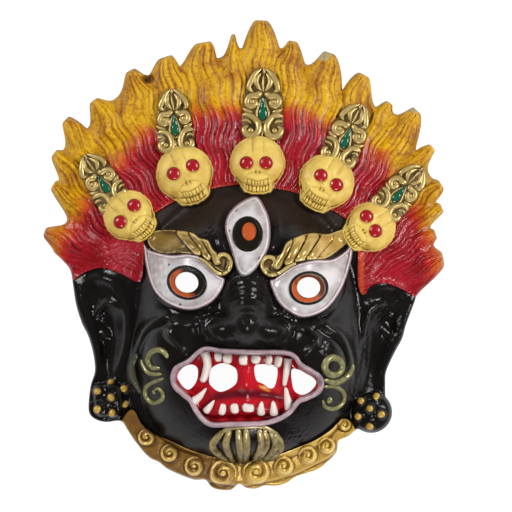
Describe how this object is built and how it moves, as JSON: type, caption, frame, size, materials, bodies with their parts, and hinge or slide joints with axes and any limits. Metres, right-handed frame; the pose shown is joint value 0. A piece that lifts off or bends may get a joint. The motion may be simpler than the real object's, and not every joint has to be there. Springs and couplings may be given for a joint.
{
  "type": "demon face mask",
  "caption": "Three-eyed guardian demon mask: hollow painted shell with flame crown, skull diadem with leaf crests, fanged open mouth, long ears and scrolled collar.",
  "frame": {"origin": "middle of the bounding box in X and Y, on the plane of the back rim", "axes": "the mask lies face up: +Y to the crown, +X to the viewer's right, +Z out of the face"},
  "size_m": [0.2426, 0.2848, 0.0778],
  "materials": {
    "black_enamel": "gloss black paint over cast resin, brown where thin",
    "flame_paint": "crimson to orange to yellow brushed paint with dark grooves",
    "skull_yellow": "pale yellow paint with brown wash",
    "antique_gold": "bronze-gold paint, rubbed bright on the high places",
    "eye_white": "gloss white paint, slightly chipped",
    "mouth_red": "gloss red paint",
    "tooth_ivory": "gloss off-white paint",
    "lip_pink": "pink-grey paint",
    "gem_green": "gloss green paint"
  },
  "bodies": {
    "root": {"mask": "black_enamel"}
  },
  "joints": []
}
